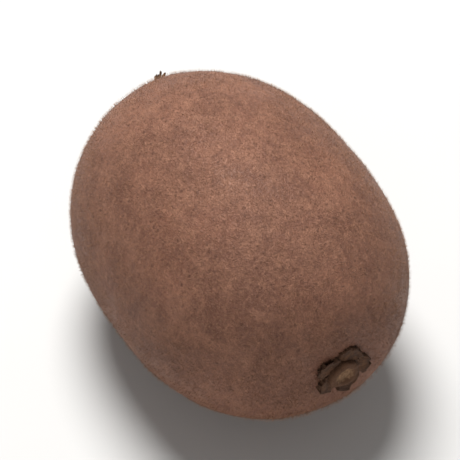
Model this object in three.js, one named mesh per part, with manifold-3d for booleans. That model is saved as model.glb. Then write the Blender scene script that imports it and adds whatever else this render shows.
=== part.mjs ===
// A golden kiwi fruit as picked, lying on its side.
// Units are millimetres and +Z is up. The fruit's long axis lies along X, with the stalk end towards +X
// and the blossom end towards -X. The origin is on the ground, below the middle of the part's box.

import * as THREE from "three";
import { mergeVertices } from "three/addons/utils/BufferGeometryUtils.js";
import Module from "manifold-3d";

const wasm = await Module();
wasm.setup();

// Driving dimensions of the berry
const BERRY_LENGTH = 73; // before the stalk hollow is sunk into its end
const BERRY_WIDTH = 55.5;
const BERRY_HEIGHT = 53.5; // before the resting spot is pressed flat
const WIDEST_SHARE = 0.49; // of the length, counted from the stalk end
const STALK_BLUNTNESS = 2.5; // 2 gives an ellipse and more gives a blunter end
const BLOSSOM_BLUNTNESS = 2.52;

// Small forms at the two ends of the berry
const STALK_HOLLOW = { depth: 1.7, radius: 8.5 };
const BEAK = { height: 1.2, radius: 5.2 };
const STYLE_PIT = { depth: 0.9, radius: 2.9 };

// Uneven growth, which bends and swells the berry away from a turned shape
const BOW = 0.8; // rise of the middle above a straight axis
const END_LEAN = 0.7; // sideways shift of each end
const THREE_SIDED = { share: 0.013, twist: 0.9 }; // share of the radius, radians from middle to end
const LOPSIDED = { share: 0.014, side: 2.6 }; // share of the radius, radians round the axis
const BEAK_DRIFT = { y: 4.8, z: 2.8, reach: 13 }; // shift of the beak off the axis, fading past the reach
const TUFT_LEAN = 0.1; // share of the drift that is added for each millimetre the styles stand out

// Resting spot, where the skin is pressed flat against the ground
const PRESS_DEPTH = 0.5;
const PRESS_BLEND = 0.12; // half the depth over which the flat spot rounds into the skin

// Dried calyx: the woody end of the stalk with its sepals
const SCAR = { radius: 3.1, height: 1.4, lip: 0.35, dishRadius: 1.9, dishDepth: 0.45 };
const SEPAL_COUNT = 5;
const SEPAL = { root: 1.5, length: 4.6, halfWidth: 3, thickness: 0.6, curl: 0.5, sideCurl: 0.4 };
const SEPAL_WIDTH = { root: 0.62, swell: 0.8, taper: 1.15 }; // shares of the half width, along the sepal
const SEPAL_RAGGED = { share: 0.08, waves: 8, slant: 2 };
const SEPAL_SHORTEST = 0.72; // share of the full length
const SEPAL_TURN_PLAY = 0.18; // share of the angle from one sepal to the next
const SEPAL_SEED = 7;

// Dried styles: the gathered tuft that is left of the flower, on the low pad that carries it
const STYLE_PAD = { radius: 2.2, height: 0.9, rimHeight: 0.3 };
const STYLE_COUNT = 26;
const STYLE = { length: 4.6, rootRadius: 0.28, tipRadius: 0.2, sunk: 0.6, curl: 0.24 };
const STYLE_LEAN_DEG = 4; // of the outermost styles
const STYLE_SPREAD = 0.46; // share of the pad's radius that the roots fill
const STYLE_SHORTEST = 0.72; // share of the full length
const STYLE_OUTER_SHORTER = 0.25; // share of its length that an outermost style lacks
const STYLE_LEAN_PLAY = 0.25; // share of the lean
const STYLE_TURN_PLAY = 0.5; // radians
const STYLE_SEED = 23;

// Fineness of the meshes
const BERRY_SIDES = 72;
const BERRY_ROWS = 54;
const ROW_CROWDING = 1.5; // above 1 the rows crowd towards the two ends
const END_SIDES = 26;
const SEPAL_STEPS = { across: 6, along: 6 };
const STYLE_STEPS = { sides: 5, along: 3 };
const GROWTH_GAP = 0.3; // between the berry and what grew on its two ends

const berryRadius = (BERRY_WIDTH + BERRY_HEIGHT) / 4;
const stalkSide = BERRY_LENGTH * WIDEST_SHARE;
const blossomSide = BERRY_LENGTH - stalkSide - BEAK.height + STYLE_PIT.depth;
const goldenAngle = Math.PI * (3 - Math.sqrt(5));

// A bell of height 1 at the axis that fades out past the given radius.
function bell(r, radius, power = 2) {
  return Math.exp(-((r / radius) ** power));
}

// How far the skin stands out along the axis at a distance r from it, for an end of the given length.
function roundEnd(r, length, bluntness) {
  return length * Math.max(0, 1 - (r / berryRadius) ** 2) ** (1 / bluntness);
}

// The skin's place along the axis at a distance r from it, on the stalk end.
function stalkSkin(r) {
  return roundEnd(r, stalkSide, STALK_BLUNTNESS) - STALK_HOLLOW.depth * bell(r, STALK_HOLLOW.radius);
}

// The same on the blossom end, which has a low beak with a pit in its tip.
function blossomSkin(r) {
  const beak = BEAK.height * bell(r, BEAK.radius);
  const pit = STYLE_PIT.depth * bell(r, STYLE_PIT.radius, 4);
  return -(roundEnd(r, blossomSide, BLOSSOM_BLUNTNESS) + beak - pit);
}

// A repeatable stream of numbers from 0 to 1.
function seededRandom(seed) {
  let state = seed >>> 0;
  return () => {
    state = (Math.imul(state, 1664525) + 1013904223) >>> 0;
    return state / 2 ** 32;
  };
}

// Calls move on each vertex of a geometry, as a vector that move may change.
function reshape(geometry, move) {
  const position = geometry.getAttribute("position");
  const vertex = new THREE.Vector3();
  for (let i = 0; i < position.count; i++) {
    move(vertex.fromBufferAttribute(position, i));
    position.setXYZ(i, vertex.x, vertex.y, vertex.z);
  }
  geometry.computeVertexNormals();
  return geometry;
}

// A profile of (distance from the axis, place along it), turned about the fruit's own axis, which is X.
function turned(profile, sides) {
  return new THREE.LatheGeometry(profile, sides).rotateZ(-Math.PI / 2);
}

// A closed geometry as a solid that can be joined to others.
function solidFrom(geometry) {
  const bare = new THREE.BufferGeometry();
  bare.setAttribute("position", geometry.getAttribute("position"));
  bare.setIndex(geometry.getIndex());
  const welded = mergeVertices(bare, 1e-4);
  return new wasm.Manifold(
    new wasm.Mesh({
      numProp: 3,
      vertProperties: welded.getAttribute("position").array,
      triVerts: new Uint32Array(welded.getIndex().array),
    }),
  );
}

// Several closed geometries as one body.
function joined(geometries) {
  const solid = geometries.map(solidFrom).reduce((whole, piece) => whole.add(piece));
  const mesh = solid.getMesh();
  const geometry = new THREE.BufferGeometry();
  geometry.setAttribute("position", new THREE.BufferAttribute(mesh.vertProperties, 3));
  geometry.setIndex(new THREE.BufferAttribute(mesh.triVerts, 1));
  return geometry;
}

// The share of the beak's drift that a point of the turned shape takes.
function driftShare(point) {
  if (point.x > 0) return 0;
  const toTip = point.x / blossomSkin(0);
  const standingOut = Math.max(0, blossomSkin(0) - point.x);
  return bell(Math.hypot(point.y, point.z), BEAK_DRIFT.reach) * toTip ** 2 + TUFT_LEAN * standingOut;
}

// Takes a point of the turned shape to its place on the unevenly grown fruit.
function growUneven(point) {
  const along = point.x / (BERRY_LENGTH / 2);
  const around = Math.atan2(point.z, point.y);
  const drift = driftShare(point);
  const threeSided = THREE_SIDED.share * Math.cos(3 * around + THREE_SIDED.twist * along + Math.PI / 2);
  const lopsided = LOPSIDED.share * along * Math.cos(around - LOPSIDED.side);
  const swell = (1 + threeSided + lopsided) / (2 * berryRadius);
  point.y = point.y * swell * BERRY_WIDTH + END_LEAN * along + BEAK_DRIFT.y * drift;
  point.z = point.z * swell * BERRY_HEIGHT + BOW * (1 - along * along) + BEAK_DRIFT.z * drift;
}

// A level below 0 becomes 0 and one above stays, with a smooth bend between.
function pressed(level) {
  if (level < -PRESS_BLEND) return 0;
  if (level > PRESS_BLEND) return level;
  return (level + PRESS_BLEND) ** 2 / (4 * PRESS_BLEND);
}

// Flattens the lowest skin into the resting spot.
function pressOnGround(geometry) {
  geometry.computeBoundingBox();
  const ground = geometry.boundingBox.min.z + PRESS_DEPTH;
  return reshape(geometry, (vertex) => {
    vertex.z = ground + pressed(vertex.z - ground);
  });
}

function makeBerry() {
  const profile = [];
  for (let row = 0; row <= BERRY_ROWS; row++) {
    const step = (2 * row) / BERRY_ROWS - 1; // from -1 at the blossom end to 1 at the stalk end
    const crowded = 1 - (1 - Math.abs(step)) ** ROW_CROWDING;
    const r = Math.abs(step) === 1 ? 0 : berryRadius * Math.cos((crowded * Math.PI) / 2);
    profile.push(new THREE.Vector2(r, step >= 0 ? stalkSkin(r) : blossomSkin(r)));
  }
  return pressOnGround(reshape(turned(profile, BERRY_SIDES), growUneven));
}

// The woody disc where the stalk broke off, dished in the middle, seated in the stalk hollow.
function makeScar() {
  const rings = [0, SCAR.radius / 2, SCAR.radius];
  const seat = rings.map((r) => new THREE.Vector2(r, stalkSkin(r) + GROWTH_GAP));
  const top = seat[0].y + SCAR.height;
  const rim = [
    new THREE.Vector2(SCAR.radius, top - SCAR.lip),
    new THREE.Vector2(SCAR.radius - SCAR.lip, top),
    new THREE.Vector2(SCAR.dishRadius, top),
    new THREE.Vector2(SCAR.dishRadius - SCAR.dishDepth, top - SCAR.dishDepth),
    new THREE.Vector2(0, top - SCAR.dishDepth),
  ];
  return turned([...seat, ...rim], END_SIDES);
}

// One dried sepal, pressed back over the skin, with a ragged edge and a tip that curls off it.
function makeSepal(turn, length, random) {
  const blade = new THREE.BoxGeometry(2, SEPAL.thickness, 1, SEPAL_STEPS.across, 1, SEPAL_STEPS.along);
  blade.translate(0, SEPAL.thickness / 2, 0.5);
  const wave = 2 * Math.PI * random();
  const sideCurl = SEPAL.sideCurl * random();
  return reshape(blade, (vertex) => {
    const { x: across, y: raise, z: along } = vertex;
    const outline = SEPAL_WIDTH.root + SEPAL_WIDTH.swell * along - SEPAL_WIDTH.taper * along ** 3;
    const wavy = Math.sin(SEPAL_RAGGED.waves * along + SEPAL_RAGGED.slant * across + wave);
    const side = across * SEPAL.halfWidth * outline * (1 + SEPAL_RAGGED.share * wavy);
    const distance = SEPAL.root + length * along;
    const r = Math.hypot(distance, side);
    const angle = turn + Math.atan2(side, distance);
    const lift = SEPAL.curl * along ** 3 + sideCurl * along * across ** 2;
    vertex.set(stalkSkin(r) + GROWTH_GAP + lift + raise, r * Math.cos(angle), r * Math.sin(angle));
  });
}

function makeCalyx() {
  const random = seededRandom(SEPAL_SEED);
  const pieces = [makeScar()];
  for (let i = 0; i < SEPAL_COUNT; i++) {
    const turn = ((i + SEPAL_TURN_PLAY * (random() - 0.5)) / SEPAL_COUNT) * 2 * Math.PI;
    const length = SEPAL.length * THREE.MathUtils.lerp(SEPAL_SHORTEST, 1, random());
    pieces.push(makeSepal(turn, length, random));
  }
  return reshape(joined(pieces), growUneven);
}

// The top of the crowned pad at a distance r from the axis.
function padTop(r) {
  const fall = (STYLE_PAD.height - STYLE_PAD.rimHeight) * (r / STYLE_PAD.radius) ** 2;
  return blossomSkin(0) - GROWTH_GAP - STYLE_PAD.height + fall;
}

// The low pad that carries the styles, seated in the pit of the beak.
function makeStylePad() {
  const rings = [0, STYLE_PAD.radius / 2, STYLE_PAD.radius];
  const crown = rings.map((r) => new THREE.Vector2(r, padTop(r)));
  const seat = rings.map((r) => new THREE.Vector2(r, blossomSkin(r) - GROWTH_GAP));
  return turned([...crown, ...seat.reverse()], END_SIDES);
}

// One dried style: a thin tapered stalk that leans out from the pad and curls.
function makeStyle(index, random) {
  const spread = Math.sqrt((index + 0.5) / STYLE_COUNT);
  const turn = index * goldenAngle + STYLE_TURN_PLAY * random();
  const fullLength = STYLE.length * (1 - STYLE_OUTER_SHORTER * spread);
  const length = fullLength * THREE.MathUtils.lerp(STYLE_SHORTEST, 1, random());
  const curl = STYLE.curl * length * random();
  const lean = THREE.MathUtils.degToRad(STYLE_LEAN_DEG) * spread * (1 - STYLE_LEAN_PLAY * random());
  const { sides, along } = STYLE_STEPS;
  const stalk = new THREE.CylinderGeometry(STYLE.tipRadius, STYLE.rootRadius, length, sides, along);
  stalk.translate(0, length / 2 - STYLE.sunk, 0);
  reshape(stalk, (vertex) => {
    vertex.x += curl * (Math.max(0, vertex.y) / length) ** 2;
  });
  // The stalk points along Y and leans towards X: it is laid along -X, leaning outwards at its turn.
  const root = STYLE_SPREAD * STYLE_PAD.radius * spread;
  return stalk
    .rotateZ(-lean)
    .translate(root, 0, 0)
    .rotateY(turn)
    .rotateZ(Math.PI / 2)
    .translate(padTop(root), 0, 0);
}

function makeStyles() {
  const random = seededRandom(STYLE_SEED);
  const pieces = [makeStylePad()];
  for (let i = 0; i < STYLE_COUNT; i++) pieces.push(makeStyle(i, random));
  return reshape(joined(pieces), growUneven);
}

function named(name, geometry, color, roughness) {
  const material = new THREE.MeshStandardMaterial({ color, roughness, metalness: 0 });
  const mesh = new THREE.Mesh(geometry, material);
  mesh.name = name;
  return mesh;
}

const fruit = new THREE.Group();
fruit.add(
  named("berry", makeBerry(), 0x895f4c, 0.62),
  named("dried_calyx", makeCalyx(), 0x5a4030, 0.85),
  named("dried_styles", makeStyles(), 0x33241b, 0.85),
);

const part = new THREE.Group();
part.add(fruit);
const box = new THREE.Box3().setFromObject(part, true);
const middle = box.getCenter(new THREE.Vector3());
fruit.position.set(-middle.x, -middle.y, -box.min.z);

export default part;
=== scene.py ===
"""A golden kiwi fruit: the finished skin, fuzz, dried calyx and dried styles, on a plain studio floor."""

import math
from collections import Counter
from itertools import count
from typing import NamedTuple

import bmesh
import bpy
from bpy.props import FloatProperty, FloatVectorProperty, IntProperty, PointerProperty
from mathutils import Color, Matrix, Vector


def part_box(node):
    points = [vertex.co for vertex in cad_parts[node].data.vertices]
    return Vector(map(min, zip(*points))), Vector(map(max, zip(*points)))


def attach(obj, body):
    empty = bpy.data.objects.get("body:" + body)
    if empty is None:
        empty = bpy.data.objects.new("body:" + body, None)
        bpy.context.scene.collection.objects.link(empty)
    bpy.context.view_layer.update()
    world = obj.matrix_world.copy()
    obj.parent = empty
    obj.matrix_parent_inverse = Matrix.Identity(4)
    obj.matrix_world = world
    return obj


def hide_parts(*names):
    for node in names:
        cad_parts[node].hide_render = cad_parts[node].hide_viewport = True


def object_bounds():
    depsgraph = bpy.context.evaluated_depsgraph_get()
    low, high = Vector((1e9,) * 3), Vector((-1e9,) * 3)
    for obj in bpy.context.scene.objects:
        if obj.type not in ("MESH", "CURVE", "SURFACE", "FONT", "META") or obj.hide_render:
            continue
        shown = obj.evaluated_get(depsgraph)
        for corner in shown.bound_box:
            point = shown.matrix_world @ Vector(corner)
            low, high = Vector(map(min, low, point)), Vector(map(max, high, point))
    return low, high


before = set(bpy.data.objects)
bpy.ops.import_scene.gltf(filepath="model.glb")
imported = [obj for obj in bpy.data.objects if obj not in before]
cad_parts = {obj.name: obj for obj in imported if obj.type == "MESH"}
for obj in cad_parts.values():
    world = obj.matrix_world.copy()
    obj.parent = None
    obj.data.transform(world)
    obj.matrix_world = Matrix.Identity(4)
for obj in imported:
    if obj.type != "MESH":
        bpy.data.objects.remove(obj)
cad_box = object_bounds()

bl_info = {
    "name": "Golden kiwi fruit",
    "version": (1, 0, 0),
    "blender": (4, 5, 0),
    "location": "3D View > Sidebar > Kiwi",
    "description": "Models the skin, fuzz, dried calyx and dried styles of a golden kiwi fruit",
    "category": "Object",
}

BODY = "root"
MM = 0.001


# Places and sizes that come from the solids

CORNER_DIGITS = 3  # of a millimetre, to which the corners that meet at a place agree
TUFT_TIPS = 0.8  # share of the tuft's reach beyond which its tips lie


def berry_poles():
    """Where the fruit's axis leaves the berry, at its two ends: there the most triangles meet."""
    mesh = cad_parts["berry"].data
    corners = [mesh.vertices[loop.vertex_index].co / MM for loop in mesh.loops]
    meetings = Counter(tuple(round(number, CORNER_DIGITS) for number in corner) for corner in corners)
    poles = sorted(corner for corner, _ in meetings.most_common(2))
    return [Vector(pole) * MM for pole in poles]


def middle_and_half(box):
    """The middle of a box, and half of its size."""
    low, high = box
    return (low + high) / 2, (high - low) / 2


def tuft_lean(pole, reach):
    """The sideways shift of the dried styles for each unit that they stand out of their pit."""
    corners = [vertex.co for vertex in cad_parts["dried_styles"].data.vertices]
    tips = [corner for corner in corners if pole.x - corner.x > TUFT_TIPS * reach]
    off = sum(tips, Vector()) / len(tips) - pole
    return Vector((0, off.y, off.z)) / -off.x


BLOSSOM_POLE, STALK_POLE = berry_poles()
PART_MIDDLE, PART_HALF = middle_and_half(cad_box)
BERRY_MIDDLE, BERRY_HALF = middle_and_half(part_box("berry"))
CALYX_REACH = middle_and_half(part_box("dried_calyx"))[1].y  # from the stalk out to the tips of the sepals
CALYX_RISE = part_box("dried_calyx")[1].x - STALK_POLE.x  # above the bottom of the stalk hollow
TUFT_REACH = BLOSSOM_POLE.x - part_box("dried_styles")[0].x  # from the bottom of the pit to the styles' tips
TUFT_LEAN = tuft_lean(BLOSSOM_POLE, TUFT_REACH)


# Settings that a user would change


def display_colour(red, green, blue):
    """The linear colour of 8-bit display values."""
    return Color((red / 255, green / 255, blue / 255)).from_srgb_to_scene_linear()


def colour_setting(name, description, red, green, blue):
    return FloatVectorProperty(
        name=name,
        description=description,
        default=display_colour(red, green, blue),
        subtype="COLOR",
        size=3,
        min=0,
        max=1,
    )


def length_setting(name, description, metres):
    return FloatProperty(
        name=name,
        description=description,
        default=metres,
        subtype="DISTANCE",
        unit="LENGTH",
        precision=6,
    )


def angle_setting(name, description, degrees):
    return FloatProperty(
        name=name,
        description=description,
        default=math.radians(degrees),
        subtype="ANGLE",
        unit="ROTATION",
    )


class KiwiSkinSettings(bpy.types.PropertyGroup):
    """Relief and colours of the berry's skin"""

    lump_height: length_setting("Lump height", "Height of the broad lumps of the skin", 0.16 * MM)
    lump_size: length_setting("Lump size", "Size of the broad lumps of the skin", 13 * MM)
    dimple_height: length_setting("Dimple height", "Height of the small dimples of the skin", 0.05 * MM)
    dimple_size: length_setting("Dimple size", "Size of the small dimples of the skin", 3 * MM)
    pucker_depth: length_setting("Pucker depth", "Depth of the folds round both ends", 0.2 * MM)
    pucker_reach: length_setting("Pucker reach", "How far the folds run from each end", 0.4 * BERRY_HALF.y)
    base: colour_setting("Base", "Most of the skin", 128, 84, 65)
    dark: colour_setting("Dark", "Darker patches and both ends", 94, 60, 46)
    light: colour_setting("Light", "Rubbed and paler patches", 164, 118, 93)
    speck: colour_setting("Speck", "Corky specks", 72, 43, 31)


class KiwiFuzzSettings(bpy.types.PropertyGroup):
    """The short hairs on the skin"""

    hair_length: length_setting("Hair length", "Length of a full hair", 0.9 * MM)
    hair_radius: length_setting("Hair radius", "Radius of a hair at its root", 0.026 * MM)
    hairs_per_mm2: FloatProperty(
        name="Hairs per mm2",
        description="Hairs on each square millimetre of skin, over all the layers of fuzz",
        default=4.2,
        min=0,
    )
    layers: IntProperty(name="Layers", description="Pieces that the fuzz is split into", default=4, min=1)
    root: colour_setting("Root", "Hairs at the skin", 112, 74, 55)
    tip: colour_setting("Tip", "Hairs at their tips", 178, 137, 106)


class KiwiCalyxSettings(bpy.types.PropertyGroup):
    """The dried calyx at the stalk end"""

    sepal_length: length_setting("Sepal length", "Length of the longest sepals", 0.8 * CALYX_REACH)
    sepal_width: length_setting("Sepal width", "Width that sepals are cut to", 1.05 * CALYX_REACH)
    sepal_thickness: length_setting("Sepal thickness", "Thickness of a dried sepal", 0.28 * MM)
    scar_radius: length_setting("Scar radius", "Radius of the stalk's scar", 0.54 * CALYX_REACH)
    sepal: colour_setting("Sepal", "Dried sepals", 104, 73, 52)
    sepal_edge: colour_setting("Sepal edge", "Edges and veins of the sepals", 66, 44, 31)
    bark: colour_setting("Bark", "Rim of the stalk's scar", 88, 61, 44)
    wood: colour_setting("Wood", "Broken wood of the stalk's scar", 138, 107, 80)


class KiwiStyleSettings(bpy.types.PropertyGroup):
    """The dried styles at the blossom end"""

    style_length: length_setting("Style length", "Length of the longest gathered styles", 0.89 * TUFT_REACH)
    stray_length: length_setting("Stray length", "Length of the longest stray styles", 0.4 * TUFT_REACH)
    pad_radius: length_setting("Pad radius", "Radius of the pad that carries the styles", 0.47 * TUFT_REACH)
    root: colour_setting("Root", "Styles at the pad", 50, 33, 23)
    tip: colour_setting("Tip", "Styles at their tips", 92, 66, 48)
    pad: colour_setting("Pad", "Crust of the pad", 92, 64, 47)


class KiwiStageSettings(bpy.types.PropertyGroup):
    """Floor, light and camera"""

    azimuth: angle_setting("Azimuth", "Turn of the camera round the fruit", 59)
    elevation: angle_setting("Elevation", "Height of the camera above the floor", 50)
    view_width: length_setting("View width", "Width of the view at the fruit", 2.21 * PART_HALF.x)
    lens: FloatProperty(
        name="Lens",
        description="Focal length of the camera",
        default=180,
        subtype="DISTANCE_CAMERA",
        unit="CAMERA",
    )
    floor: colour_setting("Floor", "The plain floor", 202, 201, 199)


# Nodes of materials and of the fuzz


class Value:
    """A number in a node tree: each operator adds the Math node that works it out."""

    def __init__(self, graph, socket):
        self.graph = graph
        self.socket = socket

    def __add__(self, other):
        return self.graph.math("ADD", self, other)

    def __sub__(self, other):
        return self.graph.math("SUBTRACT", self, other)

    def __rsub__(self, other):
        return self.graph.math("SUBTRACT", other, self)

    def __mul__(self, other):
        return self.graph.math("MULTIPLY", self, other)

    def __truediv__(self, other):
        return self.graph.math("DIVIDE", self, other)

    __radd__ = __add__
    __rmul__ = __mul__


class Patches(NamedTuple):
    """Soft patches: their size, their share of colour, and the noise at which they start and are full."""

    size: float
    share: float
    start: float
    end: float
    detail: float = 3
    roughness: float = 0.6


class Specks(NamedTuple):
    """Scattered specks: the size of their cells, their share of colour, and their radii in cells."""

    size: float
    share: float
    core: float
    edge: float


class Stripes(NamedTuple):
    """Wavering stripes: radians to a unit, radians that noise adds and its size, and the rest as Patches."""

    pitch: float
    waver: float
    waver_size: float
    share: float
    start: float
    end: float


class Graph:
    """A node tree that is built by calls: any node comes from add, and its numbers join in expressions."""

    # Sockets of a Mix node for colours and of Random Value nodes, by number because their names repeat
    MIX_SHARE = 0
    MIX_FIRST = 6
    MIX_SECOND = 7
    MIX_RESULT = 2
    DRAW_LOW = {"FLOAT_VECTOR": 0, "FLOAT": 2}
    DRAW_HIGH = {"FLOAT_VECTOR": 1, "FLOAT": 3}
    DRAW_RESULT = {"FLOAT_VECTOR": 0, "FLOAT": 1}

    def __init__(self, tree):
        self.tree = tree
        tree.nodes.clear()

    def feed(self, socket, value):
        if isinstance(value, Value):
            value = value.socket
        if isinstance(value, bpy.types.NodeSocket):
            self.tree.links.new(value, socket)
            return
        if socket.type == "RGBA":
            value = (*value[:3], 1)
        socket.default_value = value

    def add(self, kind, settings=None, sockets=None):
        node = self.tree.nodes.new(kind)
        for name, value in (settings or {}).items():
            setattr(node, name, value)
        for name, value in (sockets or {}).items():
            self.feed(node.inputs[name], value)
        return node

    def attribute(self, name):
        """A number that the piece keeps for each vertex."""
        return Value(self, self.add("ShaderNodeAttribute", {"attribute_name": name}).outputs["Fac"])

    def math(self, operation, *values):
        node = self.add("ShaderNodeMath", {"operation": operation}, dict(enumerate(values)))
        return Value(self, node.outputs[0])

    def vector(self, operation, *values):
        node = self.add("ShaderNodeVectorMath", {"operation": operation}, dict(enumerate(values)))
        return node.outputs["Vector"]

    def scaled(self, vector, by):
        node = self.add("ShaderNodeVectorMath", {"operation": "SCALE"}, {0: vector, "Scale": by})
        return node.outputs["Vector"]

    def distance(self, vector, point=(0, 0, 0)):
        node = self.add("ShaderNodeVectorMath", {"operation": "DISTANCE"}, {0: vector, 1: point})
        return Value(self, node.outputs["Value"])

    def axes(self, vector):
        node = self.add("ShaderNodeSeparateXYZ", sockets={0: vector})
        return [Value(self, socket) for socket in node.outputs]

    def step(self, value, start, end):
        """A smooth step from 0 at start to 1 at end."""
        sockets = {"Value": value, "From Min": start, "From Max": end}
        node = self.add("ShaderNodeMapRange", {"interpolation_type": "SMOOTHSTEP"}, sockets)
        return Value(self, node.outputs[0])

    def mix(self, share, first, second):
        sockets = {self.MIX_SHARE: share, self.MIX_FIRST: first, self.MIX_SECOND: second}
        return self.add("ShaderNodeMix", {"data_type": "RGBA"}, sockets).outputs[self.MIX_RESULT]

    def coats(self, colour, *layers):
        """Lays layers of a share and a colour over a first colour, one after the other."""
        for share, coat in layers:
            colour = self.mix(share, colour, coat)
        return colour

    def noise(self, vector, size, detail=2.0, roughness=0.5):
        """Noise from 0 to 1 whose patches have about the given size."""
        sockets = {"Vector": vector, "Scale": 1 / size, "Detail": detail, "Roughness": roughness}
        return Value(self, self.add("ShaderNodeTexNoise", sockets=sockets).outputs[0])

    def patches(self, vector, look):
        """Patches of noise, from 0 between them to 1 where they are full."""
        return self.step(self.noise(vector, look.size, look.detail, look.roughness), look.start, look.end)

    def specks(self, vector, look):
        """Round specks, one to a cell and each of its own strength, from 0 between them to 1."""
        cells = self.add("ShaderNodeTexVoronoi", sockets={"Vector": vector, "Scale": 1 / look.size})
        shades = self.add("ShaderNodeSeparateColor", sockets={0: cells.outputs["Color"]})
        strength = Value(self, shades.outputs[0])
        return (1 - self.step(Value(self, cells.outputs["Distance"]), look.core, look.edge)) * strength

    def stripes(self, across, vector, look):
        """Stripes that lie across a distance, from 0 between them to 1 where they are full."""
        wave = self.math("SINE", across * look.pitch + self.noise(vector, look.waver_size) * look.waver)
        return self.step(wave, look.start, look.end)

    def draw(self, kind, low, high, seed):
        """A number or a vector that is drawn for each point."""
        sockets = {self.DRAW_LOW[kind]: low, self.DRAW_HIGH[kind]: high, "Seed": seed}
        node = self.add("FunctionNodeRandomValue", {"data_type": kind}, sockets)
        return node.outputs[self.DRAW_RESULT[kind]]

    def off_axis(self, place, pole):
        """The way to a place from the line along X through a pole of the berry."""
        return self.vector("MULTIPLY", self.vector("SUBTRACT", place, pole / MM), (0, 1, 1))

    def bump(self, height, depth):
        return self.add("ShaderNodeBump", sockets={"Height": height, "Distance": depth}).outputs[0]


class Finish(NamedTuple):
    """A finish: its roughness and gloss, the roughness that a pattern adds, and the depth of its bumps."""

    roughness: float
    specular: float
    rougher: float = 0
    relief: float = 0


def new_material(name):
    """A material and its empty graph, with the object's own coordinates in millimetres."""
    material = bpy.data.materials.new(name)
    material.use_nodes = True
    graph = Graph(material.node_tree)
    place = graph.scaled(graph.add("ShaderNodeTexCoord").outputs["Object"], 1 / MM)
    return material, graph, place


def finish_material(graph, finish, colour, rough=0, raised=None, sheen=None):
    """Closes a material, with the patterns that make it rougher and that raise bumps on it."""
    sockets = {
        "Base Color": colour,
        "Roughness": finish.roughness + finish.rougher * rough,
        "Specular IOR Level": finish.specular,
        **(sheen or {}),
    }
    if raised is not None:
        sockets["Normal"] = graph.bump(raised, finish.relief)
    shader = graph.add("ShaderNodeBsdfPrincipled", sockets=sockets)
    graph.add("ShaderNodeOutputMaterial", sockets={"Surface": shader.outputs[0]})


# Modelling

# The state of a draw is the last state times the factor, plus the shift, within the range
DRAW_FACTOR = 1664525
DRAW_SHIFT = 1013904223
DRAW_RANGE = 2**32


class Relief(NamedTuple):
    """Soft lumps of a surface: their size and their height."""

    size: float
    height: float


def apply_place():
    bpy.ops.object.transform_apply(location=True, rotation=True, scale=True)


def add_piece(name, primitive, **settings):
    """Adds a primitive as a named piece with its place in its mesh, alone in the selection."""
    bpy.ops.object.select_all(action="DESELECT")
    primitive(**settings)
    apply_place()
    piece = bpy.context.object
    piece.name = piece.data.name = name
    return piece


def sort_faces(piece):
    """Puts the faces of a piece in the order of their vertices."""
    faces = []
    for face in piece.data.polygons:
        corners = list(face.vertices)
        first = corners.index(min(corners))
        faces.append(corners[first:] + corners[:first])
    places = [vertex.co.copy() for vertex in piece.data.vertices]
    piece.data.clear_geometry()
    piece.data.from_pydata(places, [], sorted(faces))


def add_ball(name, sides, rows, middle, half):
    """Adds a ball of the given half sizes, with its poles on the fruit's axis."""
    ball = add_piece(
        name,
        bpy.ops.mesh.primitive_uv_sphere_add,
        segments=sides,
        ring_count=rows,
        radius=1,
        location=middle,
        rotation=(0, math.pi / 2, 0),
        scale=(half.z, half.y, half.x),  # before the turn, which lays its Z along X
    )
    sort_faces(ball)  # a new ball has them in an order that is left to chance
    return ball


def apply_modifier(piece, kind, **settings):
    bpy.context.view_layer.objects.active = piece
    bpy.ops.object.modifier_add(type=kind)
    modifier = piece.modifiers[-1]
    for name, value in settings.items():
        setattr(modifier, name, value)
    bpy.ops.object.modifier_apply(modifier=modifier.name)


def press_down(piece, target, **axis):
    """Moves each vertex back against its normal, or down an axis, until it lies on the target."""
    apply_modifier(
        piece,
        "SHRINKWRAP",
        target=target,
        wrap_method="PROJECT",
        use_positive_direction=False,
        use_negative_direction=True,
        **axis,
    )


def refine(piece, levels):
    apply_modifier(piece, "SUBSURF", levels=levels, render_levels=levels)


def roughen(piece, reliefs, vertex_group=""):
    """Raises and lowers the surface in soft lumps, from the broadest to the finest."""
    for relief in reliefs:
        texture = bpy.data.textures.new(piece.name, "CLOUDS")
        texture.noise_scale = relief.size
        strength = 2 * relief.height  # the texture moves a point half of this either way
        apply_modifier(piece, "DISPLACE", texture=texture, strength=strength, vertex_group=vertex_group)


def select_vertices(piece, test):
    """Selects the vertices of the piece in edit mode that pass a test."""
    mesh = bmesh.from_edit_mesh(piece.data)
    for vertex in mesh.verts:
        vertex.select = test(vertex)
    mesh.select_flush_mode()
    bmesh.update_edit_mesh(piece.data)


def keep_numbers(piece, name, numbers):
    """Keeps a number for each vertex of the piece, which materials and copies can read by its name."""
    piece.data.attributes.new(name, "FLOAT", "POINT")
    piece.data.attributes[name].data.foreach_set("value", numbers)


def kept_numbers(piece, name):
    return [item.value for item in piece.data.attributes[name].data]


def select_only(pieces):
    """Selects the pieces and nothing else, and makes the first of them the active one."""
    bpy.ops.object.select_all(action="DESELECT")
    for piece in pieces:
        piece.select_set(True)
    bpy.context.view_layer.objects.active = pieces[0]


def copy_of(piece, name):
    """A copy of a piece with a mesh of its own and none of the piece's marks, alone in the selection."""
    select_only([piece])
    bpy.ops.object.duplicate()
    copy = bpy.context.object
    copy.name = copy.data.name = name
    for mark in list(copy.keys()):
        del copy[mark]
    return copy


def join(pieces, name):
    select_only(pieces)
    bpy.ops.object.join()
    whole = bpy.context.object
    whole.name = whole.data.name = name
    return whole


def seeded_draws(seed):
    """A repeatable stream of numbers from 0 to 1, as the one that placed the solids' sepals and styles."""
    state = seed
    while True:
        state = (state * DRAW_FACTOR + DRAW_SHIFT) % DRAW_RANGE
        yield state / DRAW_RANGE


def blend(first, second, share):
    return first + (second - first) * share


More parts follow.
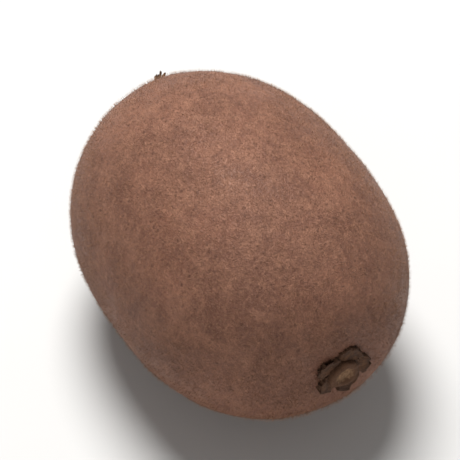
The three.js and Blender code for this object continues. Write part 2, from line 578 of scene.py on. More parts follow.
def finish_piece(piece, material, node=None):
    """Dresses a piece, lets it ride on the fruit and, with a node, hides that solid in its place."""
    piece.data.materials.clear()
    piece.data.materials.append(material)
    piece.data.shade_smooth()
    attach(piece, BODY)
    if node:
        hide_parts(node)


# Berry skin

SKIN_SIDES = 320
SKIN_ROWS = 240
SKIN_START_SCALE = 1.15  # of the ball that is wrapped down on the berry
SKIN_SMOOTHING = {"factor": 0.5, "iterations": 24}
GROUND_FADE = 4 * MM  # the relief grows from nothing on the ground to all of it at this height
PUCKER_FOLDS = ((9, 2.5), (14, -3), (5, 1.4))  # folds round the end, and how far each twists on its way out


def wrap_berry():
    """A fine ball, wrapped down on the berry's solid and smoothed."""
    skin = add_ball("berry_skin", SKIN_SIDES, SKIN_ROWS, BERRY_MIDDLE, BERRY_HALF * SKIN_START_SCALE)
    press_down(skin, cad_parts["berry"])
    apply_modifier(skin, "SMOOTH", **SKIN_SMOOTHING)
    return skin


def pucker(skin, pole, depth, reach):
    """Gathers the skin round an end of the berry into shallow folds that run away from it."""
    outward = [vertex.normal.copy() for vertex in skin.data.vertices]
    for vertex, normal in zip(skin.data.vertices, outward):
        off = vertex.co - pole
        out = math.hypot(off.y, off.z) / reach
        if out > 1 or abs(off.x) > reach:
            continue
        turn = math.atan2(off.z, off.y)
        fold = sum(math.cos(folds * turn + out * twist) for folds, twist in PUCKER_FOLDS) / len(PUCKER_FOLDS)
        fade = (1 - out**2) ** 2
        vertex.co += normal * depth * fade * (fold - 1)


def make_skin(settings):
    skin = wrap_berry()
    off_ground = skin.vertex_groups.new(name="off_ground")
    for vertex in skin.data.vertices:
        off_ground.add([vertex.index], min(1, max(0, vertex.co.z / GROUND_FADE)), "REPLACE")
    lumps = Relief(settings.lump_size, settings.lump_height)
    dimples = Relief(settings.dimple_size, settings.dimple_height)
    roughen(skin, (lumps, dimples), off_ground.name)
    for pole in (BLOSSOM_POLE, STALK_POLE):
        pucker(skin, pole, settings.pucker_depth, settings.pucker_reach)
    return skin


# Patterns of the skin, in millimetres, from the broadest to the finest
SKIN_SHADES = Patches(size=16, share=0.55, start=0.36, end=0.66, roughness=0.5)
SKIN_RUBBED = Patches(size=9, share=0.25, start=0.54, end=0.74, detail=5)
SKIN_MOTTLE = Patches(size=4.2, share=0.34, start=0.36, end=0.66, detail=4)
SKIN_DARK_FLECKS = Patches(size=1.9, share=0.36, start=0.44, end=0.66)
SKIN_PALE_FLECKS = Patches(size=1.2, share=0.35, start=0.5, end=0.66)
SKIN_STREAKS = Patches(size=1.3, share=0.25, start=0.4, end=0.75)
SKIN_GRAIN = Patches(size=0.5, share=0.26, start=0.4, end=0.7)
SKIN_SPECKS = Specks(size=1.15, share=0.58, core=0.12, edge=0.36)
SKIN_FINE_SPECKS = Specks(size=0.6, share=0.46, core=0.12, edge=0.36)
SKIN_SCURF = Patches(size=0.26, share=0.4, start=0.44, end=0.62, detail=4, roughness=0.7)
STREAK_STRETCH = (0.3, 1, 1)  # the streaks run along the fruit
SKIN_DARKEST = 0.35  # share of the base colour in the darkest shades
STALK_STAIN = (4, 17)  # from the stalk end, in millimetres: where the dark stain starts to fade and is gone
BLOSSOM_STAIN = (3, 14)
STAIN_SHARE = 0.5
SKIN_FINISH = Finish(roughness=0.54, specular=0.32, rougher=0.1, relief=0.05 * MM)
SKIN_SHEEN = {"Sheen Weight": 0.18, "Sheen Roughness": 0.45}


def skin_material(settings):
    material, graph, place = new_material("kiwi_skin")
    shades = graph.patches(place, SKIN_SHADES)
    rubbed = graph.patches(place, SKIN_RUBBED)
    mottle = graph.patches(place, SKIN_MOTTLE)
    dark_flecks = graph.patches(place, SKIN_DARK_FLECKS)
    pale_flecks = graph.patches(place, SKIN_PALE_FLECKS)
    streaks = graph.patches(graph.vector("MULTIPLY", place, STREAK_STRETCH), SKIN_STREAKS)
    grain = graph.patches(place, SKIN_GRAIN)
    specks = graph.specks(place, SKIN_SPECKS)
    fine_specks = graph.specks(place, SKIN_FINE_SPECKS)
    scurf = graph.patches(place, SKIN_SCURF)
    stalk_stain = 1 - graph.step(graph.distance(place, STALK_POLE / MM), *STALK_STAIN)
    blossom_stain = 1 - graph.step(graph.distance(place, BLOSSOM_POLE / MM), *BLOSSOM_STAIN)
    skin = graph.coats(
        graph.mix(shades * SKIN_SHADES.share + SKIN_DARKEST, settings.dark, settings.base),
        (mottle * SKIN_MOTTLE.share, settings.light),
        (rubbed * SKIN_RUBBED.share, settings.light),
        (dark_flecks * SKIN_DARK_FLECKS.share, settings.dark),
        (pale_flecks * SKIN_PALE_FLECKS.share, settings.light),
        (streaks * SKIN_STREAKS.share, settings.dark),
        ((stalk_stain + blossom_stain) * STAIN_SHARE, settings.dark),
        (grain * SKIN_GRAIN.share, settings.light),
        (scurf * SKIN_SCURF.share, settings.dark),
        (specks * SKIN_SPECKS.share, settings.speck),
        (fine_specks * SKIN_FINE_SPECKS.share, settings.speck),
    )
    finish_material(
        graph,
        SKIN_FINISH,
        skin,
        rough=mottle + specks - rubbed,
        raised=grain + scurf + specks + fine_specks + streaks,
        sheen={**SKIN_SHEEN, "Sheen Tint": settings.light},
    )
    return material


class KIWI_OT_make_skin(bpy.types.Operator):
    """Shapes the skin over the berry's solid and gives it its fine relief"""

    bl_idname = "kiwi.make_skin"
    bl_label = "Berry skin"

    def execute(self, context):
        settings = context.scene.kiwi_skin
        finish_piece(make_skin(settings), skin_material(settings), "berry")
        return {"FINISHED"}


# Fuzz

HAIR_SIDES = 3
HAIR_TIP = 0.3  # radius at the tip, as a share of the root's
HAIR_SUNK = 0.12  # share of its length below the skin
HAIR_KINK = 0.45  # share of its length at which a hair can bend
HAIR_BEND = 0.22  # share of its length by which a hair's tip leans over
HAIR_LEAN = 0.55  # towards the blossom end, against 1 straight out of the skin
HAIR_DISORDER = 0.55  # to any side, measured as the lean is
HAIR_SHORTEST = 0.4  # share of its neighbours' length
HAIR_GROWN = 0.8  # share of a full hair, round the middle of the fruit
END_HAIR_GROWTH = 0.6  # added share at the two ends
END_HAIRS = (0.75, 1)  # shares of the way to an end between which the hairs grow longer
HAIR_MAP = "OFBake"  # the map that a bake keeps
HAIR_MAP_MARGIN = 0.05
HAIR_MAP_REACH = 0.4  # half the width of a face on the map, in columns
HAIR_MAP_TILT = 0.03  # keeps the flat ends of a hair from shrinking to a line on the map
FUZZ_SEED = 11
FUZZ_SEED_STEP = 10  # from one layer to the next
FUZZ_THICK = Patches(size=7, share=1.3, start=0.3, end=0.7, roughness=0.5)
FUZZ_THINNEST = 0.35  # share of the hairs left between the thick patches
BARE_BELOW = (0.9, 2.8)  # heights in millimetres between which the fuzz that the ground presses fades in
FUZZ_FINISH = Finish(roughness=0.55, specular=0.3)


def make_hair(settings):
    """One hair, pointing up Z from the origin, with its place along the hair kept as an attribute."""
    hair_length = settings.hair_length
    hair = add_piece(
        "hair",
        bpy.ops.mesh.primitive_cone_add,
        vertices=HAIR_SIDES,
        radius1=settings.hair_radius,
        radius2=settings.hair_radius * HAIR_TIP,
        depth=hair_length,
        end_fill_type="NGON",
        location=(0, 0, hair_length * (0.5 - HAIR_SUNK)),
    )
    bpy.ops.object.mode_set(mode="EDIT")
    bpy.ops.mesh.select_all(action="SELECT")
    bpy.ops.mesh.bisect(plane_co=(0, 0, hair_length * HAIR_KINK), plane_no=(0, 0, 1))
    bpy.ops.object.mode_set(mode="OBJECT")
    along = [max(0, vertex.co.z / hair_length) for vertex in hair.data.vertices]
    for vertex, share in zip(hair.data.vertices, along):
        vertex.co.x += HAIR_BEND * hair_length * share**2
    keep_numbers(hair, "along", along)
    lay_out_hair(hair, along)
    return hair


def lay_out_hair(hair, along):
    """Gives each face of the hair a column of its own on one map, from its root up to its tip."""
    faces = hair.data.polygons
    hair.data.uv_layers[0].name = HAIR_MAP
    places = hair.data.uv_layers[HAIR_MAP].uv
    for face in faces:
        for number, corner in enumerate(face.loop_indices):
            turn = 2 * math.pi * number / face.loop_total
            share = along[hair.data.loops[corner].vertex_index]
            column = face.index + 0.5 + HAIR_MAP_REACH * math.cos(turn)
            height = blend(HAIR_MAP_MARGIN, 1 - HAIR_MAP_MARGIN, share)
            places[corner].vector = (column / len(faces), height + HAIR_MAP_TILT * math.sin(turn))


def fuzz_cover(graph, place):
    """The share of the hairs that grow at a place: fewer between thick patches, and none on the ground."""
    height = graph.axes(place)[2]
    thick = graph.patches(place, FUZZ_THICK) * FUZZ_THICK.share
    return graph.step(height, *BARE_BELOW) * (FUZZ_THINNEST + thick)


def hair_growth(graph, place, seed):
    """The share of its full length that a hair has grown to."""
    along = graph.axes(place)[0]
    to_end = graph.math("ABSOLUTE", along - BERRY_MIDDLE.x / MM) / (BERRY_HALF.x / MM)
    drawn = Value(graph, graph.draw("FLOAT", HAIR_SHORTEST, 1, seed))
    return drawn * (HAIR_GROWN + END_HAIR_GROWTH * graph.step(to_end, *END_HAIRS))


def hair_direction(graph, normal, seed):
    """A turn that points a hair out of the skin, leaning to the blossom end, in some disorder."""
    drawn = graph.draw("FLOAT_VECTOR", (-HAIR_DISORDER,) * 3, (HAIR_DISORDER,) * 3, seed)
    leaning = graph.vector("ADD", normal, (-HAIR_LEAN, 0, 0))
    direction = graph.vector("ADD", leaning, drawn)
    return graph.add("FunctionNodeAlignRotationToVector", {"axis": "Z"}, {"Vector": direction}).outputs[0]


def hair_spin(graph, seed):
    """A turn of a hair about itself, so that the hairs bend to all sides."""
    drawn = graph.draw("FLOAT", -math.pi, math.pi, seed)
    return graph.add("ShaderNodeCombineXYZ", sockets={"Z": drawn}).outputs[0]


def scatter_tree(name, hair, density, first_seed):
    """Geometry nodes that turn a skin into the hairs on it, each draw with the next seed."""
    seeds = count(first_seed)
    tree = bpy.data.node_groups.new(name, "GeometryNodeTree")
    tree.interface.new_socket("Skin", in_out="INPUT", socket_type="NodeSocketGeometry")
    tree.interface.new_socket("Hairs", in_out="OUTPUT", socket_type="NodeSocketGeometry")
    graph = Graph(tree)
    skin = graph.add("NodeGroupInput").outputs[0]
    place = graph.scaled(graph.add("GeometryNodeInputPosition").outputs[0], 1 / MM)
    points = graph.add(
        "GeometryNodeDistributePointsOnFaces",
        {"distribute_method": "RANDOM"},
        {"Mesh": skin, "Density": fuzz_cover(graph, place) * density, "Seed": next(seeds)},
    )
    direction = hair_direction(graph, points.outputs["Normal"], next(seeds))
    spin = hair_spin(graph, next(seeds))
    growth = hair_growth(graph, place, next(seeds))
    turned = graph.add(
        "FunctionNodeRotateRotation",
        {"rotation_space": "LOCAL"},
        {"Rotation": direction, "Rotate By": spin},
    )
    hairs = graph.add(
        "GeometryNodeInstanceOnPoints",
        sockets={
            "Points": points.outputs["Points"],
            "Instance": graph.add("GeometryNodeObjectInfo", sockets={"Object": hair}).outputs["Geometry"],
            "Rotation": turned.outputs[0],
            "Scale": graph.add("ShaderNodeCombineXYZ", sockets={"X": 1, "Y": 1, "Z": growth}).outputs[0],
        },
    )
    whole = graph.add("GeometryNodeRealizeInstances", sockets={"Geometry": hairs.outputs[0]})
    graph.add("NodeGroupOutput", sockets={0: whole.outputs[0]})
    return tree


def make_fuzz_layer(skin, hair, settings, layer):
    """A copy of the skin, turned into one layer of the hairs that grow on it."""
    fuzz = copy_of(skin, f"fuzz_{layer + 1}")
    density = settings.hairs_per_mm2 / MM**2 / settings.layers
    tree = scatter_tree(fuzz.name, hair, density, FUZZ_SEED + FUZZ_SEED_STEP * layer)
    apply_modifier(fuzz, "NODES", node_group=tree)
    return fuzz


def fuzz_material(settings):
    material, graph, _ = new_material("kiwi_fuzz")
    colour = graph.mix(graph.attribute("along"), settings.root, settings.tip)
    finish_material(graph, FUZZ_FINISH, colour)
    return material


class KIWI_OT_make_fuzz(bpy.types.Operator):
    """Grows the short hairs of the fuzz on the skin"""

    bl_idname = "kiwi.make_fuzz"
    bl_label = "Fuzz"

    def execute(self, context):
        settings = context.scene.kiwi_fuzz
        skin = bpy.data.objects["berry_skin"]
        hair = make_hair(settings)
        material = fuzz_material(settings)
        for layer in range(settings.layers):
            finish_piece(make_fuzz_layer(skin, hair, settings, layer), material)
        bpy.data.objects.remove(hair)
        return {"FINISHED"}


# Dried calyx

SEPAL_COUNT = 5
SEPAL_SEED = 7
SEPAL_ROOT = 0.26 * CALYX_REACH  # from the fruit's axis
SEPAL_SHORTEST = 0.72  # share of the full length
SEPAL_TURN_PLAY = 0.18  # share of the angle from one sepal to the next
SEPAL_OUTLINE = {"root": 0.62, "swell": 0.8, "taper": 1.15}  # shares of the width, along the sepal
SEPAL_RAGGED = 0.035  # share of the sepal's size
SEPAL_RAGGED_FROM = 0.3  # share of the length
SEPAL_RAGGED_WAYS = 1000  # seeds that the ragged edge is drawn from
SEPAL_HOLD_OFF = 10 * MM  # from where a flat sepal is laid on the skin
SEPAL_LIFT = 0.45 * MM  # off the skin
SEPAL_OVERLAP = 0.22 * MM  # rise of the side that lies on the next sepal, and fall of the other side
SEPAL_TIP_CURL = 0.55 * MM
SEPAL_SIDE_CURL = 0.4 * MM
SEPAL_LEAST_CURLED = 0.4  # share of the full curl
SEPAL_CELLS = (14, 18)  # across and along
SEPAL_RELIEF = (Relief(1.4 * MM, 0.12 * MM), Relief(0.4 * MM, 0.04 * MM))
SCAR_TOP = 0.86 * CALYX_RISE  # above the bottom of the stalk hollow
SCAR_SUNK = 0.58 * CALYX_RISE
SCAR_SIDES = 48
# Rings of the scar's face from its rim inwards: the width of each, and how far it rises, in millimetres
SCAR_RINGS = ((0.3, 0.16), (0.35, 0.08), (0.55, -0.1), (0.35, -0.4), (0.5, -0.05), (0.4, 0.14))
SCAR_RELIEF = (Relief(2.4 * MM, 0.3 * MM), Relief(0.5 * MM, 0.09 * MM))


def cut_sepal(name, width, length, draws):
    """A flat sepal along Y with a ragged edge, which keeps the place of each vertex across and along it."""
    across_cells, along_cells = SEPAL_CELLS
    sepal = add_piece(
        name,
        bpy.ops.mesh.primitive_grid_add,
        x_subdivisions=across_cells,
        y_subdivisions=along_cells,
        size=1,
        location=(0, 0.5, 0),
    )
    keep_numbers(sepal, "across", [2 * vertex.co.x for vertex in sepal.data.vertices])
    keep_numbers(sepal, "along", [vertex.co.y for vertex in sepal.data.vertices])
    bpy.ops.object.mode_set(mode="EDIT")
    for row in range(along_cells + 1):
        along = row / along_cells
        select_vertices(sepal, lambda vertex: round(vertex.co.y * along_cells) == row)
        outline = SEPAL_OUTLINE["root"] + SEPAL_OUTLINE["swell"] * along - SEPAL_OUTLINE["taper"] * along**3
        bpy.ops.transform.resize(value=(outline, 1, 1), center_override=(0, along, 0))
    select_vertices(sepal, lambda vertex: vertex.is_boundary and vertex.co.y > SEPAL_RAGGED_FROM)
    bpy.ops.transform.vertex_random(offset=SEPAL_RAGGED, seed=int(SEPAL_RAGGED_WAYS * next(draws)))
    bpy.ops.mesh.select_all(action="SELECT")
    bpy.ops.transform.resize(value=(width, length, 1), center_override=(0, 0, 0))
    bpy.ops.transform.translate(value=(0, SEPAL_ROOT, 0))
    bpy.ops.object.mode_set(mode="OBJECT")
    return sepal


def lay_sepal(sepal, skin, turn, draws):
    """Turns a flat sepal to its place round the stalk, lays it on the skin and curls it."""
    standing = Matrix.Rotation(turn, 4, "X") @ Matrix.Rotation(math.pi / 2, 4, "Y")
    sepal.matrix_world = Matrix.Translation(STALK_POLE + Vector((SEPAL_HOLD_OFF, 0, 0))) @ standing
    apply_place()
    press_down(sepal, skin, use_project_x=True)
    curled = blend(SEPAL_LEAST_CURLED, 1, next(draws))
    places = zip(kept_numbers(sepal, "across"), kept_numbers(sepal, "along"))
    for vertex, (across, along) in zip(sepal.data.vertices, places):
        curl = SEPAL_TIP_CURL * along**3 + SEPAL_SIDE_CURL * along * across**2
        vertex.co.x += SEPAL_LIFT + SEPAL_OVERLAP * across + curled * curl


def make_sepals(settings, skin):
    draws = seeded_draws(SEPAL_SEED)
    sepals = []
    for number in range(SEPAL_COUNT):
        turn = (number + SEPAL_TURN_PLAY * (next(draws) - 0.5)) / SEPAL_COUNT * 2 * math.pi
        length = settings.sepal_length * blend(SEPAL_SHORTEST, 1, next(draws))
        sepal = cut_sepal(f"sepal_{number + 1}", settings.sepal_width, length, draws)
        lay_sepal(sepal, skin, turn, draws)
        apply_modifier(sepal, "SOLIDIFY", thickness=settings.sepal_thickness, offset=0)
        refine(sepal, levels=2)
        roughen(sepal, SEPAL_RELIEF)
        sepals.append(sepal)
    return sepals


def make_scar(radius):
    """The woody end of the stalk: a disc with rings stepped into its broken face."""
    scar = add_piece(
        "stalk_scar",
        bpy.ops.mesh.primitive_cylinder_add,
        vertices=SCAR_SIDES,
        radius=radius,
        depth=SCAR_TOP + SCAR_SUNK,
        location=STALK_POLE + Vector(((SCAR_TOP - SCAR_SUNK) / 2, 0, 0)),
        rotation=(0, math.pi / 2, 0),
    )
    bpy.ops.object.mode_set(mode="EDIT")
    select_vertices(scar, lambda vertex: vertex.co.x > STALK_POLE.x)
    for width, rise in SCAR_RINGS:
        bpy.ops.mesh.inset(thickness=width * MM)
        bpy.ops.transform.translate(value=(rise * MM, 0, 0))
    bpy.ops.mesh.poke()
    bpy.ops.object.mode_set(mode="OBJECT")
    refine(scar, levels=2)
    roughen(scar, SCAR_RELIEF)
    return scar


# Patterns of the sepals and of the scar, in millimetres
SEPAL_WITHERED = Patches(size=1.4, share=0.7, start=0.35, end=0.65, detail=4)
SEPAL_VEINS = Stripes(pitch=16, waver=5, waver_size=0.8, share=0.45, start=0.2, end=1)
SEPAL_GRAIN = Patches(size=0.25, share=0.25, start=0.35, end=0.7)
SEPAL_EDGE_BAND = (0.55, 1)  # shares of the half width between which the edge darkens
SEPAL_TIP_BAND = (0.7, 1)  # shares of the length between which the tip darkens
SEPAL_EDGE_SHARE = 0.5
SEPAL_FINISH = Finish(roughness=0.75, specular=0.25, rougher=0.15, relief=0.05 * MM)
SCAR_CRACKS = Patches(size=0.23, share=0.55, start=0.5, end=0.62)  # on a circle of radius 1
SCAR_GROWTH_RINGS = Stripes(pitch=9, waver=4, waver_size=1, share=0.35, start=-0.4, end=1)
SCAR_FIBRE = Patches(size=0.22, share=0.35, start=0.45, end=0.75, roughness=0.65)
SCAR_RIM = (1.5, 2.5)  # from the middle: where the bark starts and where it is all
SCAR_RIM_PLAY = Patches(size=0.7, share=0.8, start=0.3, end=0.7)
SCAR_FINISH = Finish(roughness=0.82, specular=0.2, rougher=0.1, relief=0.05 * MM)


def sepal_material(settings):
    material, graph, place = new_material("dried_sepal")
    across = graph.attribute("across")
    withered = graph.patches(place, SEPAL_WITHERED)
    veins = graph.stripes(across, place, SEPAL_VEINS)
    grain = graph.patches(place, SEPAL_GRAIN)
    edge = graph.step(graph.math("ABSOLUTE", across), *SEPAL_EDGE_BAND)
    tip = graph.step(graph.attribute("along"), *SEPAL_TIP_BAND)
    tissue = graph.coats(
        settings.sepal_edge,
        (withered * SEPAL_WITHERED.share, settings.sepal),
        (veins * SEPAL_VEINS.share, settings.sepal_edge),
        (grain * SEPAL_GRAIN.share, settings.sepal_edge),
        (graph.math("MAXIMUM", edge, tip) * SEPAL_EDGE_SHARE, settings.sepal_edge),
    )
    finish_material(graph, SEPAL_FINISH, tissue, rough=withered, raised=veins + grain)
    return material


def scar_material(settings):
    material, graph, place = new_material("stalk_wood")
    from_middle = graph.off_axis(place, STALK_POLE)
    radius = graph.distance(from_middle)
    cracks = graph.patches(graph.vector("NORMALIZE", from_middle), SCAR_CRACKS)
    rings = graph.stripes(radius, place, SCAR_GROWTH_RINGS)
    fibre = graph.patches(place, SCAR_FIBRE)
    uneven = graph.patches(place, SCAR_RIM_PLAY) * SCAR_RIM_PLAY.share
    wood = graph.coats(
        settings.wood,
        (rings * SCAR_GROWTH_RINGS.share, settings.bark),
        (cracks * SCAR_CRACKS.share, settings.bark),
        (graph.step(radius + uneven, *SCAR_RIM), settings.bark),
        (fibre * SCAR_FIBRE.share, settings.sepal_edge),
    )
    finish_material(graph, SCAR_FINISH, wood, rough=fibre, raised=fibre - cracks)
    return material


class KIWI_OT_make_calyx(bpy.types.Operator):
    """Models the stalk's scar and the dried sepals round it"""

    bl_idname = "kiwi.make_calyx"
    bl_label = "Dried calyx"

    def execute(self, context):
        settings = context.scene.kiwi_calyx
        skin = bpy.data.objects["berry_skin"]
        finish_piece(make_scar(settings.scar_radius), scar_material(settings), "dried_calyx")
        material = sepal_material(settings)
        for sepal in make_sepals(settings, skin):
            finish_piece(sepal, material, "dried_calyx")
        return {"FINISHED"}


# Dried styles

STYLE_COUNT = 26
STYLE_SEED = 23
STRAY_SEED = 29
STYLE_ROOT_RADIUS = 0.06 * TUFT_REACH
STYLE_TIP_RADIUS = 0.042 * TUFT_REACH
STYLE_SUNK = 0.13 * TUFT_REACH
STYLE_FURROW = 0.62  # radius in a furrow, as a share of the radius on the ridges beside it
# The stigma at a style's tip: its width and its point as shares of the tip, its length as one of the style
STIGMA = {"flare": 1.45, "length": 0.04, "point": 0.4}
STYLE_ELBOWS = ((0.15, 0.45), (0.5, 0.85))  # parts of its length in which a style is bent
STYLE_ELBOW_BEND = 0.16  # to the side for each unit beyond the elbow, at most
STYLE_CURL = 0.24  # share of the length
STYLE_SPREAD = 0.42  # share of the pad's radius that the roots fill
STYLE_SHORTEST = 0.86  # share of the full length
STYLE_OUTER_SHORTER = 0.12  # share of its length that an outermost style lacks
GATHERED_LEAN = math.radians(1)  # of the outermost styles
STRAY_LEAN = math.radians(78)
STRAY_THICKNESS = 0.55  # share of a gathered style's
STYLE_LEAN_PLAY = 0.25  # share of the lean
STYLE_TURN_PLAY = 0.5  # radians
STYLE_SIDES = 10
STYLE_CUTS = 10
STYLE_RELIEF = (Relief(0.5 * MM, 0.035 * MM),)
PAD_TOP = 0.25 * TUFT_REACH  # beyond the bottom of the pit
PAD_FALL = 0.13 * TUFT_REACH  # from the middle of the pad to its rim
PAD_SIDES = 48
PAD_ROWS = 24
PAD_RELIEF = (Relief(0.9 * MM, 0.4 * MM), Relief(0.25 * MM, 0.12 * MM))
GOLDEN_ANGLE = math.pi * (3 - math.sqrt(5))


class StyleLook(NamedTuple):
    """How a style dried: its full length, its thickness as a share, and the lean of the outermost ones."""

    length: float
    thickness: float
    lean: float


def make_style():
    """One straight dried style of unit length, up Z from the origin, furrowed, with a stigma at its tip."""
    style = add_piece(
        "style",
        bpy.ops.mesh.primitive_cone_add,
        vertices=STYLE_SIDES,
        radius1=STYLE_ROOT_RADIUS,
        radius2=STYLE_TIP_RADIUS,
        depth=1,
        location=(0, 0, 0.5),
    )
    bpy.ops.object.mode_set(mode="EDIT")
    for cut in range(1, STYLE_CUTS):
        bpy.ops.mesh.select_all(action="SELECT")
        bpy.ops.mesh.bisect(plane_co=(0, 0, cut / STYLE_CUTS), plane_no=(0, 0, 1))
    side = 2 * math.pi / STYLE_SIDES
    select_vertices(style, lambda vertex: round(math.atan2(vertex.co.x, vertex.co.y) / side) % 2 == 1)
    bpy.ops.transform.resize(value=(STYLE_FURROW, STYLE_FURROW, 1), center_override=(0, 0, 0))
    select_vertices(style, lambda vertex: round(vertex.co.z * STYLE_CUTS) == STYLE_CUTS)
    bpy.ops.transform.resize(value=(STIGMA["flare"], STIGMA["flare"], 1), center_override=(0, 0, 1))
    bpy.ops.mesh.extrude_region_move(TRANSFORM_OT_translate={"value": (0, 0, STIGMA["length"])})
    bpy.ops.transform.resize(value=(STIGMA["point"], STIGMA["point"], 1), center_override=(0, 0, 1))
    bpy.ops.object.mode_set(mode="OBJECT")
    keep_numbers(style, "along", [min(1, vertex.co.z) for vertex in style.data.vertices])
    return style


def bend_style(style, length, curl, thickness, draws):
    """Curls the unit style and snaps it into elbows, as it dried, and gives it its length."""
    elbows = []
    for start, end in STYLE_ELBOWS:
        height = blend(start, end, next(draws))
        turn = 2 * math.pi * next(draws)
        bend = STYLE_ELBOW_BEND * length * next(draws)
        elbows.append((height, bend * math.cos(turn), bend * math.sin(turn)))
    for vertex in style.data.vertices:
        along = vertex.co.z
        vertex.co.x = vertex.co.x * thickness + curl * along**2
        vertex.co.y *= thickness
        for height, bend_x, bend_y in elbows:
            beyond = max(0, along - height)
            vertex.co.x += bend_x * beyond
            vertex.co.y += bend_y * beyond
        vertex.co.z = along * length - STYLE_SUNK


def place_style(style, number, look, pad_radius, draws, elbow_draws):
    """A copy of the style, bent in its own way, in its place on the pad."""
    spread = math.sqrt((number + 0.5) / STYLE_COUNT)
    turn = number * GOLDEN_ANGLE + STYLE_TURN_PLAY * next(draws)
    full_length = look.length * (1 - STYLE_OUTER_SHORTER * spread)
    length = full_length * blend(STYLE_SHORTEST, 1, next(draws))
    curl = STYLE_CURL * length * next(draws)
    lean = look.lean * spread * (1 - STYLE_LEAN_PLAY * next(draws))
    copy = copy_of(style, f"style_{number + 1}")
    bend_style(copy, length, curl, look.thickness, elbow_draws)
    outward = Vector((0, math.cos(turn), -math.sin(turn)))
    away = Vector((-1, 0, 0))
    basis = Matrix((outward, away.cross(outward), away)).transposed().to_4x4()
    root = STYLE_SPREAD * spread
    foot = BLOSSOM_POLE + away * (PAD_TOP - PAD_FALL * root**2) + outward * root * pad_radius
    copy.matrix_world = Matrix.Translation(foot) @ basis @ Matrix.Rotation(lean, 4, "Y")
    apply_place()
    return copy


def lean_over(piece):
    """Leans the styles or their pad over with the drift of the berry's beak."""
    for vertex in piece.data.vertices:
        vertex.co += TUFT_LEAN * max(0, BLOSSOM_POLE.x - vertex.co.x)


def make_tuft(settings):
    """The gathered styles, with a thinner stray one beside each of them."""
    gathered = StyleLook(settings.style_length, 1, GATHERED_LEAN)
    stray = StyleLook(settings.stray_length, STRAY_THICKNESS, STRAY_LEAN)
    draws = seeded_draws(STYLE_SEED)  # which also placed the solid's styles, so elbows aren't drawn from it
    stray_draws = seeded_draws(STRAY_SEED)
    style = make_style()
    styles = []
    for number in range(STYLE_COUNT):
        styles.append(place_style(style, number, gathered, settings.pad_radius, draws, stray_draws))
        styles.append(place_style(style, number, stray, settings.pad_radius, stray_draws, stray_draws))
    bpy.data.objects.remove(style)
    tuft = join(styles, "style_tuft")
    refine(tuft, levels=1)
    roughen(tuft, STYLE_RELIEF)
    lean_over(tuft)
    return tuft


def make_pad(radius):
    """The low crusty pad that carries the styles, a flattened ball seated in the pit."""
    pad = add_ball("style_pad", PAD_SIDES, PAD_ROWS, BLOSSOM_POLE, Vector((PAD_TOP, radius, radius)))
    refine(pad, levels=1)
    roughen(pad, PAD_RELIEF)
    lean_over(pad)
    return pad


# Patterns of the styles and of their pad, in millimetres
STYLE_BLOTCHES = Patches(size=0.7, share=0.55, start=0.35, end=0.7, detail=4)
STYLE_FIBRE = Patches(size=0.15, share=0.25, start=0.35, end=0.65)
PAD_CRUST = Patches(size=0.9, share=0.8, start=0.38, end=0.62, detail=4)
PAD_FOLDS = Patches(size=0.25, share=0.5, start=0.48, end=0.62)  # on a circle of radius 1
PAD_GRAIN = Patches(size=0.2, share=0.4, start=0.4, end=0.65)
STYLE_FINISH = Finish(roughness=0.7, specular=0.15, rougher=0.2, relief=0.05 * MM)


def style_material(settings):
    material, graph, place = new_material("dried_style")
    blotches = graph.patches(place, STYLE_BLOTCHES)
    fibre = graph.patches(place, STYLE_FIBRE)
    tissue = graph.coats(
        settings.root,
        (graph.attribute("along"), settings.tip),
        (blotches * STYLE_BLOTCHES.share, settings.root),
        (fibre * STYLE_FIBRE.share, settings.root),
    )
    finish_material(graph, STYLE_FINISH, tissue, rough=blotches, raised=fibre)
    return material


def pad_material(settings):
    material, graph, place = new_material("dried_pad")
    crust = graph.patches(place, PAD_CRUST)
    folds = graph.patches(graph.vector("NORMALIZE", graph.off_axis(place, BLOSSOM_POLE)), PAD_FOLDS)
    grain = graph.patches(place, PAD_GRAIN)
    tissue = graph.coats(
        settings.root,
        (crust * PAD_CRUST.share, settings.pad),
        (folds * PAD_FOLDS.share, settings.root),
        (grain * PAD_GRAIN.share, settings.tip),
    )
    finish_material(graph, STYLE_FINISH, tissue, rough=crust, raised=grain + crust - folds)
    return material


class KIWI_OT_make_styles(bpy.types.Operator):
    """Models the tuft of dried styles and the pad that carries it"""

    bl_idname = "kiwi.make_styles"
    bl_label = "Dried styles"

    def execute(self, context):
        settings = context.scene.kiwi_styles
        finish_piece(make_tuft(settings), style_material(settings), "dried_styles")
        finish_piece(make_pad(settings.pad_radius), pad_material(settings), "dried_styles")
        return {"FINISHED"}


# Stage

FLOOR_SIZE = 4  # metres
FLOOR_CLOUDS = Patches(size=60, share=0.04, start=0, end=1)
FLOOR_FINISH = Finish(roughness=0.7, specular=0.2)
WHITE = (1, 1, 1)
ROOM_LIGHT = 0.2
CAMERA_SENSOR = 36  # millimetres, as the lens


class Lamp(NamedTuple):
    """A round soft lamp: its place from the middle of the fruit, its width, and its power in watts."""

    name: str
    place: tuple
    width: float
    power: float


LAMPS = (
    Lamp("key", (-0.29, 0.08, 0.74), 0.42, 10.8),
    Lamp("fill", (0.82, -0.4, 0.24), 0.7, 2.8),
)


def floor_material(settings):
    material, graph, place = new_material("studio_floor")
    clouds = graph.patches(place, FLOOR_CLOUDS)
    colour = graph.mix(clouds * FLOOR_CLOUDS.share, settings.floor, WHITE)
    finish_material(graph, FLOOR_FINISH, colour)
    return material


def lay_floor(settings):
    floor = add_piece("floor", bpy.ops.mesh.primitive_plane_add, size=FLOOR_SIZE)
    floor.data.materials.append(floor_material(settings))


def aim(item, place):
    """Puts a lamp or the camera at a place off the middle of the fruit, and points it at that middle."""
    item.location = PART_MIDDLE + place
    item.rotation_euler = (-place).to_track_quat("-Z", "Y").to_euler()


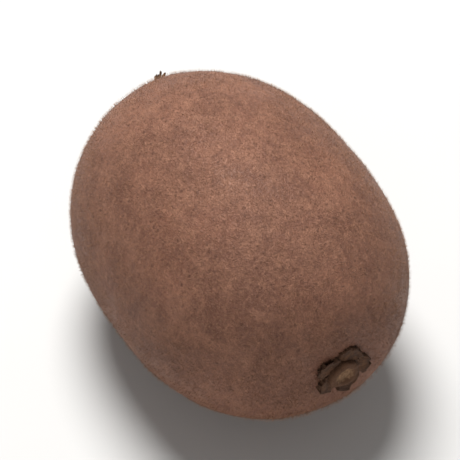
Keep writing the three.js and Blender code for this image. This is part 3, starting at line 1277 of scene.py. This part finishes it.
def hang_lamp(lamp):
    bpy.ops.object.light_add(type="AREA")
    light = bpy.context.object
    light.name = lamp.name
    light.data.shape = "DISK"
    light.data.size = lamp.width
    light.data.energy = lamp.power
    aim(light, Vector(lamp.place))


def light_room(scene):
    scene.world = bpy.data.worlds.new("studio")
    scene.world.use_nodes = True
    backdrop = scene.world.node_tree.nodes["Background"].inputs
    backdrop["Color"].default_value = (*WHITE, 1)
    backdrop["Strength"].default_value = ROOM_LIGHT


def stand_camera(scene, settings):
    bpy.ops.object.camera_add()
    camera = bpy.context.object
    camera.data.lens = settings.lens
    camera.data.sensor_width = CAMERA_SENSOR
    away = settings.view_width * settings.lens / CAMERA_SENSOR
    flat = math.cos(settings.elevation)
    direction = Vector((
        math.sin(settings.azimuth) * flat,
        -math.cos(settings.azimuth) * flat,
        math.sin(settings.elevation),
    ))
    aim(camera, direction * away)
    scene.camera = camera


class KIWI_OT_make_stage(bpy.types.Operator):
    """Lays the floor and sets the light and the camera"""

    bl_idname = "kiwi.make_stage"
    bl_label = "Stage"

    def execute(self, context):
        scene = context.scene
        settings = scene.kiwi_stage
        lay_floor(settings)
        for lamp in LAMPS:
            hang_lamp(lamp)
        light_room(scene)
        stand_camera(scene, settings)
        scene.view_settings.view_transform = "Standard"
        return {"FINISHED"}


# Add-on

# The steps in their order: the name of each one's settings in the scene, their class and the operator
STEPS = (
    ("kiwi_skin", KiwiSkinSettings, KIWI_OT_make_skin),
    ("kiwi_fuzz", KiwiFuzzSettings, KIWI_OT_make_fuzz),
    ("kiwi_calyx", KiwiCalyxSettings, KIWI_OT_make_calyx),
    ("kiwi_styles", KiwiStyleSettings, KIWI_OT_make_styles),
    ("kiwi_stage", KiwiStageSettings, KIWI_OT_make_stage),
)


class KIWI_PT_fruit(bpy.types.Panel):
    """Lists the steps that make the fruit, each below its settings"""

    bl_idname = "KIWI_PT_fruit"
    bl_label = "Golden kiwi fruit"
    bl_space_type = "VIEW_3D"
    bl_region_type = "UI"
    bl_category = "Kiwi"

    def draw(self, context):
        for name, group, operator in STEPS:
            step = self.layout.box()
            for setting in group.__annotations__:
                step.prop(getattr(context.scene, name), setting)
            step.operator(operator.bl_idname)


def register():
    for name, group, operator in STEPS:
        bpy.utils.register_class(group)
        setattr(bpy.types.Scene, name, PointerProperty(type=group))
        bpy.utils.register_class(operator)
    bpy.utils.register_class(KIWI_PT_fruit)


def unregister():
    bpy.utils.unregister_class(KIWI_PT_fruit)
    for name, group, operator in reversed(STEPS):
        bpy.utils.unregister_class(operator)
        delattr(bpy.types.Scene, name)
        bpy.utils.unregister_class(group)


def main():
    register()
    bpy.ops.kiwi.make_skin()
    bpy.ops.kiwi.make_fuzz()
    bpy.ops.kiwi.make_calyx()
    bpy.ops.kiwi.make_styles()
    bpy.ops.kiwi.make_stage()


if __name__ == "__main__":
    main()
